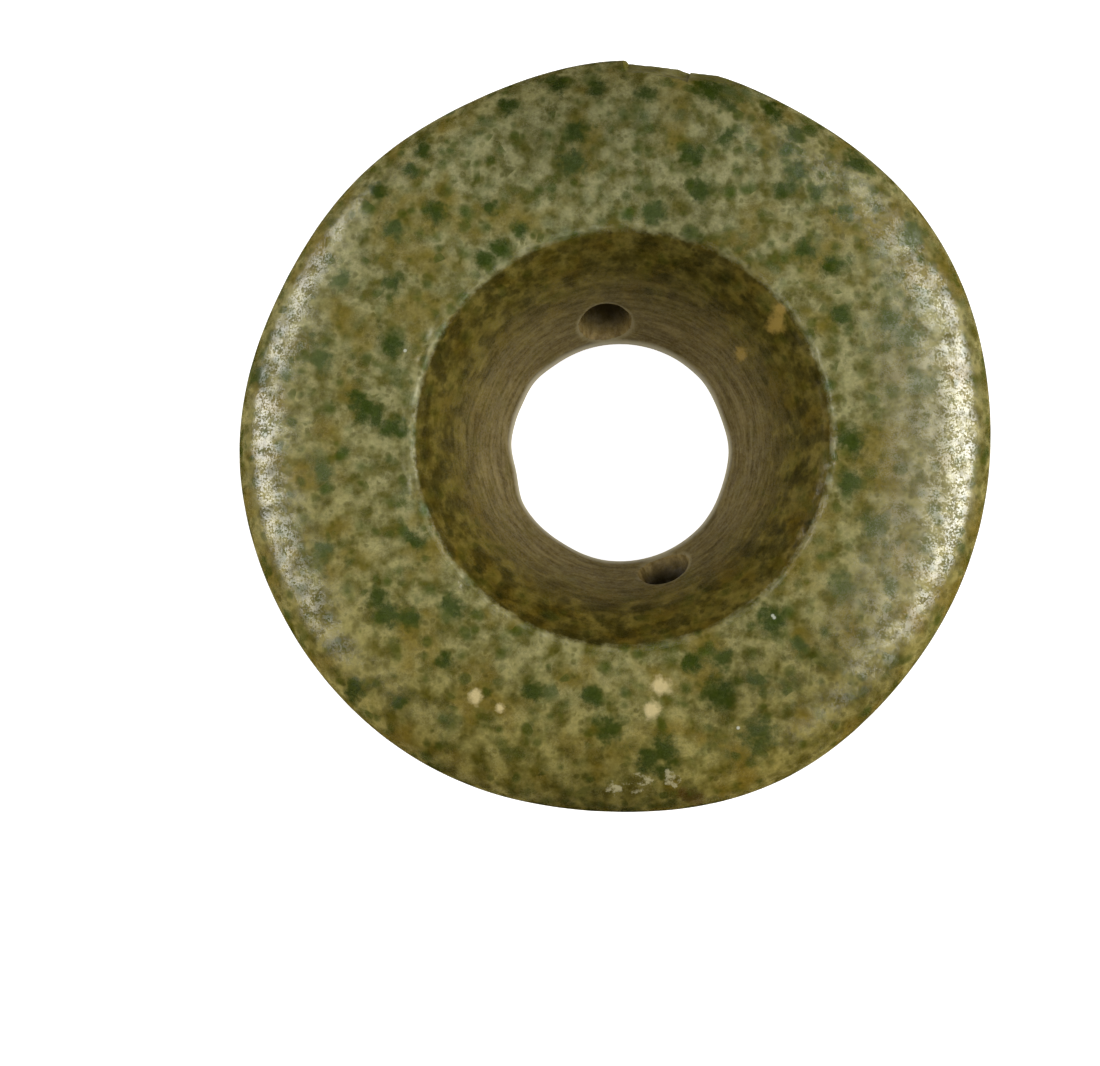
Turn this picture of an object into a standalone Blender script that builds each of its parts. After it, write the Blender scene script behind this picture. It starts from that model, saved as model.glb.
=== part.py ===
"""A jade ear spool: a round flare on a short hollow neck, ground and drilled from one stone.

The spool lies as it rests on a table, on the foot of its neck, with the polished face up.
The axis of the bore is Z, the foot stands on z = 0, and all lengths are in metres.
"""

from math import atan2, cos, hypot, pi, radians, sin, tan

import bpy
from mathutils import Matrix, Vector

MM = 0.001

# Flare: the broad ring whose face rolls over at the rim
FLARE_RADIUS = 23.45 * MM
RIM_DROP = 3.2 * MM  # from the face down to the rim's widest line
RIM_ROUNDING = 1.5 * MM  # from the widest line in to the underside
FACE_FULLNESS = 2.6  # 2 is a quarter of an ellipse, and more is flatter with a tighter rim

# Underside: a cove that runs in from the rim and down into the neck
COVE_HEIGHT = 6.4 * MM
COVE_FULLNESS = 3.0

# Neck and foot
NECK_LENGTH = 4.9 * MM  # from the foot up to the start of the cove
NECK_WALL = 3.4 * MM  # at the waist of the bore
FOOT_LIP = 0.7 * MM  # how far the foot spreads past the neck
FOOT_ROUNDING = 0.8 * MM

# Throat: a polished dish at the mouth, then a steeper cone down to the waist of the bore
MOUTH_RADIUS = 13.1 * MM
MOUTH_OFFSET = 0.23 * MM  # how far along +X the mouth was ground off the axis
LIP_ROUNDING = 0.25 * MM
DISH_BREADTH = 2.8 * MM
DISH_DEPTH = 3.0 * MM
DISH_ROUNDING = 12.0 * MM
BORE_RADIUS = 6.8 * MM
THROAT_DEPTH = 9.2 * MM  # from the face down to the waist, the narrowest line of the bore
WAIST_ROUNDING = 0.6 * MM
BACK_WIDENING = 1.2 * MM  # how much wider the bore is at the foot than at its waist
BACK_ROUNDING = 0.4 * MM

# Two holes for a cord, drilled through the neck from opposite sides
CORD_HOLE_RADIUS = 1.65 * MM
CORD_HOLE_LEDGE = 0.45 * MM  # of wall left between the waist and the hole
CORD_HOLE_TURNS = (radians(96.5), radians(290.0))

# The rim isn't a true circle: (waves round the rim, height, turn of a crest)
RIM_WAVES = (
    (1, 0.20 * MM, radians(113)),
    (2, 0.213 * MM, radians(53)),
    (3, 0.155 * MM, radians(-48)),
    (4, 0.08 * MM, radians(16)),
    (5, 0.08 * MM, radians(19)),
    (7, 0.095 * MM, radians(-18)),
    (8, 0.032 * MM, radians(-5)),
    (9, 0.027 * MM, radians(11)),
)

# Two old chips that meet in a notch, clockwise: (turns of the two ends, depth at each end)
RIM_CHIPS = (
    (radians(88.6), radians(79.2), 0.30 * MM, 0.50 * MM),
    (radians(79.4), radians(72.0), 0.42 * MM, -0.15 * MM),
)
CHIP_LEAN = radians(20)  # the chips face outwards and this far up

# How finely the round forms are cut into flats
ROUND_STEPS = 96
HOLE_SIDES = 28
CURVE_STEPS = 9
CORNER_STEPS = 4
SPREAD_STEPS = 3

NECK_RADIUS = BORE_RADIUS + NECK_WALL
FOOT_RADIUS = NECK_RADIUS + FOOT_LIP
FOOT_CURL = min(FOOT_ROUNDING, NECK_LENGTH / 2)
BACK_RADIUS = BORE_RADIUS + BACK_WIDENING
DISH_RADIUS = MOUTH_RADIUS - DISH_BREADTH
RIM_HEIGHT = NECK_LENGTH + COVE_HEIGHT + RIM_ROUNDING
SPOOL_HEIGHT = RIM_HEIGHT + RIM_DROP
WAIST_HEIGHT = SPOOL_HEIGHT - THROAT_DEPTH

JADE = (0.16, 0.145, 0.055, 1.0)


def clear_scene():
    for old in list(bpy.data.objects):
        bpy.data.objects.remove(old, do_unlink=True)


def new_collection(name):
    collection = bpy.data.collections.new(name)
    bpy.context.scene.collection.children.link(collection)
    return collection


def jade_material():
    material = bpy.data.materials.new("mottled_jade")
    material.use_nodes = True
    shader = material.node_tree.nodes["Principled BSDF"]
    shader.inputs["Base Color"].default_value = JADE
    shader.inputs["Metallic"].default_value = 0.0
    shader.inputs["Roughness"].default_value = 0.3
    return material


def quarter(centre, reach, fullness, start, end, steps):
    """Points along a quarter of a superellipse, from the angle start to the angle end."""
    points = []
    for step in range(steps + 1):
        angle = start + (end - start) * step / steps
        across = max(cos(angle), 0.0) ** (2 / fullness)
        along = max(sin(angle), 0.0) ** (2 / fullness)
        points.append(Vector((centre[0] + reach[0] * across, centre[1] + reach[1] * along)))
    return points


def rounded(before, corner, after, radius, steps):
    """Points of the arc that rounds a corner between two straight stretches of the profile."""
    before, corner, after = Vector(before), Vector(corner), Vector(after)
    to_before = (before - corner).normalized()
    to_after = (after - corner).normalized()
    half = to_before.angle(to_after) / 2
    room = 0.45 * min((before - corner).length, (after - corner).length)
    reach = min(radius / tan(half), room)
    centre = corner + (to_before + to_after).normalized() * reach / cos(half)
    start = corner + to_before * reach - centre
    end = corner + to_after * reach - centre
    size = start.length
    return [centre + size * start.slerp(end, step / steps) for step in range(steps + 1)]


def face_and_rim():
    face = quarter(
        centre=(MOUTH_RADIUS + LIP_ROUNDING, RIM_HEIGHT),
        reach=(FLARE_RADIUS - MOUTH_RADIUS - LIP_ROUNDING, RIM_DROP),
        fullness=FACE_FULLNESS,
        start=pi / 2,
        end=0,
        steps=CURVE_STEPS,
    )
    under_rim = quarter(
        centre=(FLARE_RADIUS - RIM_ROUNDING, RIM_HEIGHT),
        reach=(RIM_ROUNDING, -RIM_ROUNDING),
        fullness=2,
        start=0,
        end=pi / 2,
        steps=CORNER_STEPS,
    )
    return face[1:] + under_rim[1:]


def cove_and_neck():
    cove = quarter(
        centre=(FLARE_RADIUS - RIM_ROUNDING, NECK_LENGTH),
        reach=(NECK_RADIUS - FLARE_RADIUS + RIM_ROUNDING, COVE_HEIGHT),
        fullness=COVE_FULLNESS,
        start=pi / 2,
        end=0,
        steps=CURVE_STEPS,
    )
    spread = []
    for step in range(1, SPREAD_STEPS + 1):
        down = step / SPREAD_STEPS
        radius = NECK_RADIUS + FOOT_LIP * down**2
        spread.append(Vector((radius, NECK_LENGTH + (FOOT_CURL - NECK_LENGTH) * down)))
    return cove[1:] + spread


def foot_and_back():
    foot = quarter(
        centre=(FOOT_RADIUS - FOOT_ROUNDING, FOOT_CURL),
        reach=(FOOT_ROUNDING, -FOOT_CURL),
        fullness=2,
        start=0,
        end=pi / 2,
        steps=CORNER_STEPS,
    )
    foot_edge = (FOOT_RADIUS - FOOT_ROUNDING, 0)
    back_corner = (BACK_RADIUS, 0)
    waist = (BORE_RADIUS, WAIST_HEIGHT)
    back_edge = rounded(foot_edge, back_corner, waist, BACK_ROUNDING, 2)
    return foot[1:] + back_edge


def throat():
    back_corner = (BACK_RADIUS, 0)
    waist = (BORE_RADIUS, WAIST_HEIGHT)
    dish = (DISH_RADIUS, SPOOL_HEIGHT - DISH_DEPTH)
    mouth = (MOUTH_RADIUS, SPOOL_HEIGHT)
    face = (FLARE_RADIUS, SPOOL_HEIGHT)
    return (
        rounded(back_corner, waist, dish, WAIST_ROUNDING, 3)
        + rounded(waist, dish, mouth, DISH_ROUNDING, 3)
        + rounded(dish, mouth, face, LIP_ROUNDING, 2)
    )


def turned_mesh(collection):
    """The profile spun about Z, as a plain mesh."""
    points = throat() + face_and_rim() + cove_and_neck() + foot_and_back()
    outline = bpy.data.meshes.new("profile")
    corners = [(point.x, 0, point.y) for point in points]
    edges = [(i, (i + 1) % len(corners)) for i in range(len(corners))]
    outline.from_pydata(corners, edges, [])
    profile = bpy.data.objects.new("profile", outline)
    collection.objects.link(profile)
    spin = profile.modifiers.new("Spin", "SCREW")
    spin.steps = ROUND_STEPS
    spin.render_steps = ROUND_STEPS
    spin.use_merge_vertices = True
    spin.merge_threshold = 0.00001
    bpy.context.view_layer.update()
    evaluated = profile.evaluated_get(bpy.context.evaluated_depsgraph_get())
    mesh = bpy.data.meshes.new_from_object(evaluated)
    bpy.data.objects.remove(profile, do_unlink=True)
    return mesh


def rim_wave(turn):
    """How far the rim stands out of its true circle at this turn."""
    return sum(height * cos(waves * (turn - crest)) for waves, height, crest in RIM_WAVES)


def share(value, start, end):
    """How far value has come from start to end, from 0 to 1."""
    return min(max((value - start) / (end - start), 0.0), 1.0)


def grind_out_of_true(mesh):
    """Moves the turned points as hand grinding did: a wavy rim, and a mouth that is off the axis."""
    for vertex in mesh.vertices:
        radius = hypot(vertex.co.x, vertex.co.y)
        turn = atan2(vertex.co.y, vertex.co.x)
        out_on_flare = share(radius, MOUTH_RADIUS, FLARE_RADIUS)
        up_throat = share(vertex.co.z, WAIST_HEIGHT, SPOOL_HEIGHT)
        radius += out_on_flare * rim_wave(turn)
        vertex.co.x = radius * cos(turn) + (1 - out_on_flare) * up_throat * MOUTH_OFFSET
        vertex.co.y = radius * sin(turn)


def hide_as_cutter(cutter, cutters):
    for home in list(cutter.users_collection):
        home.objects.unlink(cutter)
    cutters.objects.link(cutter)
    cutter.hide_render = True
    cutter.display_type = "WIRE"


def cut(spool, cutter):
    modifier = spool.modifiers.new(cutter.name, "BOOLEAN")
    modifier.operation = "DIFFERENCE"
    modifier.solver = "EXACT"
    modifier.object = cutter


def drill_cord_hole(spool, cutters, number, turn):
    """A straight hole from the bore out through the neck, just above the waist."""
    inner_end = BORE_RADIUS / 2
    outer_end = FLARE_RADIUS
    height = WAIST_HEIGHT + CORD_HOLE_LEDGE + CORD_HOLE_RADIUS
    bpy.ops.mesh.primitive_cylinder_add(
        vertices=HOLE_SIDES, radius=CORD_HOLE_RADIUS, depth=outer_end - inner_end
    )
    drill = bpy.context.object
    drill.name = f"cord_drill_{number}"
    lay_down = Matrix.Rotation(pi / 2, 4, "Y")
    move_out = Matrix.Translation(((inner_end + outer_end) / 2, 0, height))
    drill.matrix_world = Matrix.Rotation(turn, 4, "Z") @ move_out @ lay_down
    hide_as_cutter(drill, cutters)
    cut(spool, drill)


def rim_point(turn, depth):
    """A point on the rim's widest line, this deep inside the stone."""
    radius = FLARE_RADIUS + rim_wave(turn) - depth
    return Vector((radius * cos(turn), radius * sin(turn), RIM_HEIGHT))


def chip_rim(spool, cutters, number, chip):
    """One flat facet knocked off the rim, leaning so that it also faces up."""
    start_turn, end_turn, start_depth, end_depth = chip
    start = rim_point(start_turn, start_depth)
    end = rim_point(end_turn, end_depth)
    along = (end - start).normalized()
    up = Vector((0, 0, 1))
    outwards = up.cross(along)
    clear_of_stone = RIM_DROP + RIM_ROUNDING
    bpy.ops.mesh.primitive_cube_add(size=1)
    chisel = bpy.context.object
    chisel.name = f"rim_chisel_{number}"
    size = Matrix.Diagonal(((end - start).length, clear_of_stone, 2 * clear_of_stone, 1))
    chisel.data.transform(size @ Matrix.Translation((0, 0.5, 0)))
    facing = Matrix((along, outwards, up)).transposed().to_4x4()
    lean = Matrix.Rotation(CHIP_LEAN, 4, "X")
    chisel.matrix_world = Matrix.Translation((start + end) / 2) @ facing @ lean
    hide_as_cutter(chisel, cutters)
    cut(spool, chisel)


def main():
    clear_scene()
    parts = new_collection("Jade ear spool")
    cutters = new_collection("Cutters")
    mesh = turned_mesh(parts)
    grind_out_of_true(mesh)
    mesh.name = "ear_spool"
    mesh.materials.append(jade_material())
    mesh.shade_smooth()
    mesh.set_sharp_from_angle(angle=radians(35))
    spool = bpy.data.objects.new("ear_spool", mesh)
    parts.objects.link(spool)
    for number, turn in enumerate(CORD_HOLE_TURNS, 1):
        drill_cord_hole(spool, cutters, number, turn)
    for number, chip in enumerate(RIM_CHIPS, 1):
        chip_rim(spool, cutters, number, chip)


main()
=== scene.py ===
# %% [markdown]
# # A jade ear spool, from a turned line to a worn stone
# An ear spool is a hollow stopper of stone. Its neck went through the ear lobe, and its broad flare
# sat in front and showed. Spools like this one were pecked out, drilled and ground by hand from one
# block of mottled jade, so it is one piece: the lesson makes one mesh and one material, and spends its
# care on what hands, sand and wear did to them.
#
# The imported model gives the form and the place. Everything is in metres, in its frame: the bore's axis
# is Z, and the spool lies on the foot of its neck with the polished face up.

# %% Load the frame
from math import atan2, cos, hypot, pi, radians, sin, tan

import bmesh
import bpy
import numpy as np
from mathutils import Matrix, Vector, noise


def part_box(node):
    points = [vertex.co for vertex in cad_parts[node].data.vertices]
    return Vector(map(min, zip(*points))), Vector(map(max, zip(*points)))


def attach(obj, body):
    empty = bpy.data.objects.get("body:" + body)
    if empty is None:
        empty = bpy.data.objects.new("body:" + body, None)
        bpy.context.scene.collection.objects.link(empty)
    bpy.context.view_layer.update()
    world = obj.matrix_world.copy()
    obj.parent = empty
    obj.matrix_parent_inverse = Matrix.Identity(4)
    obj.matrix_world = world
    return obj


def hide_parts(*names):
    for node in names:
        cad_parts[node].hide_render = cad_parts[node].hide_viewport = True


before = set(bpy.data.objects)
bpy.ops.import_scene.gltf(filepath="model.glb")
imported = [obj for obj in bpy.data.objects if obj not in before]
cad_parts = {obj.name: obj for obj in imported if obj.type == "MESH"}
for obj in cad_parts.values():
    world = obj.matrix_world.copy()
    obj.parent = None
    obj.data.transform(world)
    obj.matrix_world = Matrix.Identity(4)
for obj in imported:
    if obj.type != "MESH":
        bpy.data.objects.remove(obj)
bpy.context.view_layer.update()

MM = 0.001
lowest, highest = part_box("ear_spool")
SPOOL_HEIGHT = highest.z - lowest.z
print(f"the solid is {SPOOL_HEIGHT / MM:.1f} mm high")

# %% [markdown]
# ## Where the picture is taken from
# The photograph looks down on the spool, leaning about five degrees off the vertical, so the bore and
# the cord holes shift a little towards the lower edge. A long lens keeps the circles round. The lens
# comes from the view's real width, and the aim from where the flare's centre stands in the picture.

# %% Camera
PICTURE = (1100, 1066)  # pixels
PIXELS_PER_MM = 16.04
FLARE_AT = (617.9, 439.6)  # the flare's centre in the picture, in pixels
RIM_DEPTH = 3.2 * MM  # of the rim's widest line below the face
RIM_HEIGHT = SPOOL_HEIGHT - RIM_DEPTH
FLARE_CENTRE = Vector((-0.078 * MM, 0.184 * MM, RIM_HEIGHT))  # where the first rim wave puts it
LEAN_NORTH = radians(5.4)
LEAN_WEST = radians(0.9)
CAMERA_DISTANCE = 0.6
NEAREST_SEEN = 0.01

look = Vector((-sin(LEAN_WEST), sin(LEAN_NORTH), -1.0)).normalized()
right = look.cross(Vector((0, 1, 0))).normalized()
up = right.cross(look)
beside = (PICTURE[0] / 2 - FLARE_AT[0]) / PIXELS_PER_MM * MM
below = (FLARE_AT[1] - PICTURE[1] / 2) / PIXELS_PER_MM * MM
aim = FLARE_CENTRE + right * beside + up * below
camera = bpy.data.objects.new("camera", bpy.data.cameras.new("camera"))
camera.matrix_world = (
    Matrix.Translation(aim - look * CAMERA_DISTANCE)
    @ Matrix((right, up, -look)).transposed().to_4x4()
)
view_width = PICTURE[0] / PIXELS_PER_MM * MM
camera.data.lens = camera.data.sensor_width * CAMERA_DISTANCE / view_width
camera.data.clip_start = NEAREST_SEEN
bpy.context.scene.collection.objects.link(camera)
bpy.context.scene.camera = camera
print(f"lens {camera.data.lens:.0f} mm, view {view_width / MM:.1f} mm wide")

# %% [markdown]
# ## The turned line, down the throat
# Everything round on the spool is one line spun about the bore: down the throat, over the face, round
# the rim, in along the hollow underside, down the neck and round the foot. The same rules as in the
# solid draw it, but with a point every sixth of a millimetre, so that the grinding and the drill marks
# can be real relief. The throat comes first: straight stretches from the back through the waist and the
# dish to the mouth, with an arc at every corner.

# %% The throat's line
FLARE_RADIUS = 23.45 * MM
MOUTH_RADIUS = 13.1 * MM
LIP_ROUNDING = 0.25 * MM
DISH_RADIUS = 10.3 * MM
DISH_DEPTH = 3.0 * MM
DISH_ROUNDING = 12.0 * MM
BORE_RADIUS = 6.8 * MM
WAIST_DEPTH = 9.2 * MM
WAIST_HEIGHT = SPOOL_HEIGHT - WAIST_DEPTH
WAIST_ROUNDING = 0.6 * MM
BACK_RADIUS = 8.0 * MM


def rounded(before, corner, after, radius, steps=12):
    """Points of the arc that rounds a corner between two straight stretches."""
    before, corner, after = Vector(before), Vector(corner), Vector(after)
    to_before = (before - corner).normalized()
    to_after = (after - corner).normalized()
    half = to_before.angle(to_after) / 2
    room = 0.45 * min((before - corner).length, (after - corner).length)
    reach = min(radius / tan(half), room)
    centre = corner + (to_before + to_after).normalized() * reach / cos(half)
    start = corner + to_before * reach - centre
    end = corner + to_after * reach - centre
    size = start.length
    return [centre + size * start.slerp(end, step / steps) for step in range(steps + 1)]


waist = (BORE_RADIUS, WAIST_HEIGHT)
dish = (DISH_RADIUS, SPOOL_HEIGHT - DISH_DEPTH)
mouth = (MOUTH_RADIUS, SPOOL_HEIGHT)
back_corner = (BACK_RADIUS, 0)

throat_line = (
    rounded(back_corner, waist, dish, WAIST_ROUNDING)
    + rounded(waist, dish, mouth, DISH_ROUNDING)
    + rounded(dish, mouth, (FLARE_RADIUS, SPOOL_HEIGHT), LIP_ROUNDING)
)
print(f"the throat narrows from {2 * MOUTH_RADIUS / MM:.1f} to {2 * BORE_RADIUS / MM:.1f} mm across")

# %% [markdown]
# ## Over the face and round the rim
# A hand-ground face is flatter than a quarter of an ellipse and turns over faster at the rim. A
# superellipse, which is an ellipse whose fullness can be chosen, fits such a face with one number.

# %% The face's line
RIM_ROUNDING = 1.5 * MM
FACE_FULLNESS = 2.6
CIRCLE_FULLNESS = 2


def quarter(centre, reach, fullness, start, end, steps=120):
    """Points along a quarter of a superellipse, from the angle start to the angle end."""
    points = []
    for step in range(steps + 1):
        angle = start + (end - start) * step / steps
        across = max(cos(angle), 0.0) ** (2 / fullness)
        along = max(sin(angle), 0.0) ** (2 / fullness)
        points.append(Vector((centre[0] + reach[0] * across, centre[1] + reach[1] * along)))
    return points


face_line = quarter(
    centre=(MOUTH_RADIUS + LIP_ROUNDING, RIM_HEIGHT),
    reach=(FLARE_RADIUS - MOUTH_RADIUS - LIP_ROUNDING, SPOOL_HEIGHT - RIM_HEIGHT),
    fullness=FACE_FULLNESS,
    start=pi / 2,
    end=0,
) + quarter(
    centre=(FLARE_RADIUS - RIM_ROUNDING, RIM_HEIGHT),
    reach=(RIM_ROUNDING, -RIM_ROUNDING),
    fullness=CIRCLE_FULLNESS,
    start=0,
    end=pi / 2,
)
print(f"the flare is {2 * FLARE_RADIUS / MM:.1f} mm across and rolls over by {RIM_DEPTH / MM:.1f} mm")

# %% [markdown]
# ## The hidden back
# The photograph doesn't show the underside, so its sizes are a guess in keeping with such flares: a
# hollow curve in to a short neck, which spreads a little to the flat ring of the foot. It is kept plain,
# because nothing is known of its marks.

# %% The back's line
COVE_HEIGHT = 6.4 * MM
COVE_FULLNESS = 3.0
NECK_RADIUS = 10.2 * MM
NECK_LENGTH = RIM_HEIGHT - RIM_ROUNDING - COVE_HEIGHT
NECK_STEPS = 12
FOOT_RADIUS = 10.9 * MM
FOOT_ROUNDING = 0.8 * MM
BACK_ROUNDING = 0.4 * MM

back_line = quarter(
    centre=(FLARE_RADIUS - RIM_ROUNDING, NECK_LENGTH),
    reach=(NECK_RADIUS - FLARE_RADIUS + RIM_ROUNDING, COVE_HEIGHT),
    fullness=COVE_FULLNESS,
    start=pi / 2,
    end=0,
)
for step in range(1, NECK_STEPS + 1):
    down = step / NECK_STEPS
    spread = NECK_RADIUS + (FOOT_RADIUS - NECK_RADIUS) * down**2
    back_line.append(Vector((spread, NECK_LENGTH + (FOOT_ROUNDING - NECK_LENGTH) * down)))
back_line += quarter(
    centre=(FOOT_RADIUS - FOOT_ROUNDING, FOOT_ROUNDING),
    reach=(FOOT_ROUNDING, -FOOT_ROUNDING),
    fullness=CIRCLE_FULLNESS,
    start=0,
    end=pi / 2,
)[1:]
foot_edge = (FOOT_RADIUS - FOOT_ROUNDING, 0)
back_line += rounded(foot_edge, back_corner, waist, BACK_ROUNDING)
print(f"the neck is {2 * NECK_RADIUS / MM:.1f} mm across and {NECK_LENGTH / MM:.1f} mm long")

# %% [markdown]
# ## Points at an even spacing
# The curves come with their points crowded at the bends, and relief needs faces of one size, so the line
# gets new points at an even spacing: coarser ones where there is less to show, because each becomes a
# whole ring of the stone.

# %% One closed line
POINT_SPACING = 0.16 * MM
PLAIN_SPACING = 0.36 * MM


def evenly(points, spacing):
    """The same line with its points at an even spacing."""
    lengths = [0.0]
    for first, second in zip(points, points[1:]):
        lengths.append(lengths[-1] + (second - first).length)
    count = max(1, round(lengths[-1] / spacing))
    even = []
    at = 0
    for step in range(count + 1):
        wanted = lengths[-1] * step / count
        while at < len(points) - 2 and lengths[at + 1] < wanted:
            at += 1
        stretch = max(lengths[at + 1] - lengths[at], 1e-12)
        even.append(points[at].lerp(points[at + 1], (wanted - lengths[at]) / stretch))
    return even


fine = evenly(throat_line + face_line, POINT_SPACING)
plain = evenly([fine[-1]] + back_line[1:] + [fine[0]], PLAIN_SPACING)
line = fine + plain[1:-1]
print(f"the line has {len(line)} points")

# %% [markdown]
# ## Spinning the blank
# In the editor this is the Spin tool: a closed line, one full turn, ends merged. The operator leaves
# the facing of the new faces to chance, so the normals are recalculated once the doubles are gone.

# %% Spin
TURN_STEPS = 360
SAME_PLACE = 0.001 * MM  # points closer than this are one

spool = bmesh.new()
line_verts = [spool.verts.new((point.x, 0, point.y)) for point in line]
line_edges = [
    spool.edges.new((line_verts[i], line_verts[(i + 1) % len(line_verts)]))
    for i in range(len(line_verts))
]
bmesh.ops.spin(
    spool,
    geom=line_verts + line_edges,
    cent=(0, 0, 0),
    axis=(0, 0, 1),
    angle=2 * pi,
    steps=TURN_STEPS,
    use_merge=True,
    use_duplicate=False,
)
bmesh.ops.remove_doubles(spool, verts=spool.verts, dist=SAME_PLACE)
bmesh.ops.recalc_face_normals(spool, faces=spool.faces)
print(f"the blank has {len(spool.verts)} points and {len(spool.faces)} faces")

# %% [markdown]
# ## Out of true
# The rim was ground a stretch at a time, which left slow waves in the outline, and the mouth of the
# throat came out a hair off the bore's axis. Each wave is a cosine with its own height and fades towards
# the mouth. They are the waves of the photograph's outline, but for the first, which sets the rim off
# the bore's axis: it is kept as low as in the solid, 0.06 mm less than the photograph gives.

# %% Grind it out of true
MOUTH_OFFSET = 0.23 * MM
RIM_WAVES = (  # waves round the rim, height, turn of a crest
    (1, 0.20 * MM, radians(113)),
    (2, 0.213 * MM, radians(53)),
    (3, 0.155 * MM, radians(-48)),
    (4, 0.08 * MM, radians(16)),
    (5, 0.08 * MM, radians(19)),
    (7, 0.095 * MM, radians(-18)),
    (8, 0.032 * MM, radians(-5)),
    (9, 0.027 * MM, radians(11)),
)


def rim_wave(turn):
    """How far the rim stands out of its true circle at this turn."""
    return sum(height * cos(waves * (turn - crest)) for waves, height, crest in RIM_WAVES)


def share(value, start, end):
    """How far value has come from start to end, from 0 to 1."""
    return min(max((value - start) / (end - start), 0.0), 1.0)


for vert in spool.verts:
    radius = hypot(vert.co.x, vert.co.y)
    turn = atan2(vert.co.y, vert.co.x)
    out_on_flare = share(radius, MOUTH_RADIUS, FLARE_RADIUS)
    up_throat = share(vert.co.z, WAIST_HEIGHT, SPOOL_HEIGHT)
    radius += out_on_flare * rim_wave(turn)
    vert.co.x = radius * cos(turn) + (1 - out_on_flare) * up_throat * MOUTH_OFFSET
    vert.co.y = radius * sin(turn)
rim_radii = [(FLARE_RADIUS + rim_wave(radians(degree))) / MM for degree in range(360)]
print(f"the rim stands {min(rim_radii):.2f} to {max(rim_radii):.2f} mm from the bore's axis")

# %% [markdown]
# ## The swell of a rubbed face
# A rubbed face is smooth but never flat: it keeps a shallow swell every few millimetres and a fine
# ripple, and that is what makes a highlight on it wander. Noise at two scales gives the depth. Both go
# inwards only, because rubbing takes stone away.

# %% Swell and ripple
RUBBED_OFF = 0.01 * MM
SWELL, SWELLS_PER_METRE = 0.04 * MM, 170
RIPPLE, RIPPLES_PER_METRE = 0.018 * MM, 900


def dent(point, scale, seed=0.0):
    """Smooth noise between 0 and 1 with so many swells to the metre."""
    return 0.5 + 0.5 * noise.noise(point * scale + Vector((seed, seed, seed)))


print(f"rubbing takes up to {(RUBBED_OFF + SWELL + RIPPLE) / MM:.2f} mm off")

# %% [markdown]
# ## Drill rings
# The throat was reamed with a turning point and wet sand. That leaves fine rings, deep near the waist
# and polished away in the dish near the mouth. Noise that changes fast up the wall and slowly round it
# looks just so. It goes both ways, into grooves and crests.

# %% Rings
RING_DEPTH = 0.03 * MM
RINGS_FADE = (4.5 * MM, 1.5 * MM)  # depths below the face between which they fade
WALL_MARGIN = 0.5 * MM  # how far off the wall's line still counts as wall


def throat_radius(height):
    """Where the wall of the throat and the bore stands at this height."""
    if height < WAIST_HEIGHT:
        return BACK_RADIUS + (BORE_RADIUS - BACK_RADIUS) * height / WAIST_HEIGHT
    if height < SPOOL_HEIGHT - DISH_DEPTH:
        up = (height - WAIST_HEIGHT) / (SPOOL_HEIGHT - DISH_DEPTH - WAIST_HEIGHT)
        return BORE_RADIUS + (DISH_RADIUS - BORE_RADIUS) * up
    up = (height - SPOOL_HEIGHT + DISH_DEPTH) / DISH_DEPTH
    return DISH_RADIUS + (MOUTH_RADIUS - DISH_RADIUS) * up


def rings(point):
    """Noise that changes fast up the wall and slowly round it."""
    broad = noise.noise(Vector((point.x * 300, point.y * 300, point.z * 1500)))
    sharp = noise.noise(Vector((point.x * 700, point.y * 700, point.z * 3200)))
    return 0.65 * broad + 0.35 * sharp


print(f"the rings are up to {RING_DEPTH / MM:.2f} mm deep")

# %% [markdown]
# ## Edges worn by the cord
# Two small holes run through the wall of the throat for a cord, which rounded the stone at their edges.
# The holes are cut further on, but that wear is pushed in here, while the grid is still whole.

# %% Wear at the cord holes
CORD_HOLE_RADIUS = 1.65 * MM
CORD_HOLE_LIFT = 0.45 * MM  # of a hole's lower edge above the waist
CORD_HOLE_HEIGHT = WAIST_HEIGHT + CORD_HOLE_LIFT + CORD_HOLE_RADIUS
CORD_HOLE_TURNS = (radians(96.5), radians(290.0))
HOLE_WEAR = 0.10 * MM  # how deep the cord wore the edge of a hole
HOLE_WEAR_REACH = 0.4 * MM


def off_hole_axis(point, turn):
    """How far a point is from the axis of the cord hole at this turn."""
    along = Vector((cos(turn), sin(turn), 0))
    beside = point - Vector((0, 0, CORD_HOLE_HEIGHT))
    if beside.dot(along) < 0:
        return FLARE_RADIUS
    return (beside - along * beside.dot(along)).length


def hole_wear(point):
    """1 at the edge of a cord hole, fading to 0 a little way off it."""
    nearest = min(off_hole_axis(point, turn) for turn in CORD_HOLE_TURNS)
    return (1 - share(nearest, CORD_HOLE_RADIUS, CORD_HOLE_RADIUS + HOLE_WEAR_REACH)) ** 2


print(f"cord holes {2 * CORD_HOLE_RADIUS / MM:.1f} mm wide, {CORD_HOLE_HEIGHT / MM:.1f} mm up")

# %% [markdown]
# ## The uneven waist
# The narrow waist of the bore isn't round in the photograph: at four turns stone stands proud, and at
# one a little more is gone. Each is a soft bump with its own turn, half width and height.

# %% Swells in the bore
BORE_SWELLS = (  # turn, half width and height, which is below zero where stone is gone
    (radians(20), radians(24), 0.16 * MM),
    (radians(140), radians(16), -0.12 * MM),
    (radians(191), radians(18), 0.24 * MM),
    (radians(238), radians(26), 0.10 * MM),
    (radians(343), radians(26), 0.12 * MM),
)
WAIST_REACH = (0.3 * MM, 2.5 * MM)  # from the waist: where a swell begins to fade, and ends
BORE_MARGIN = 2 * MM


def softly(value, start, end):
    """The same as share, with a slow start and a slow end."""
    part = share(value, start, end)
    return part * part * (3 - 2 * part)


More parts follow.
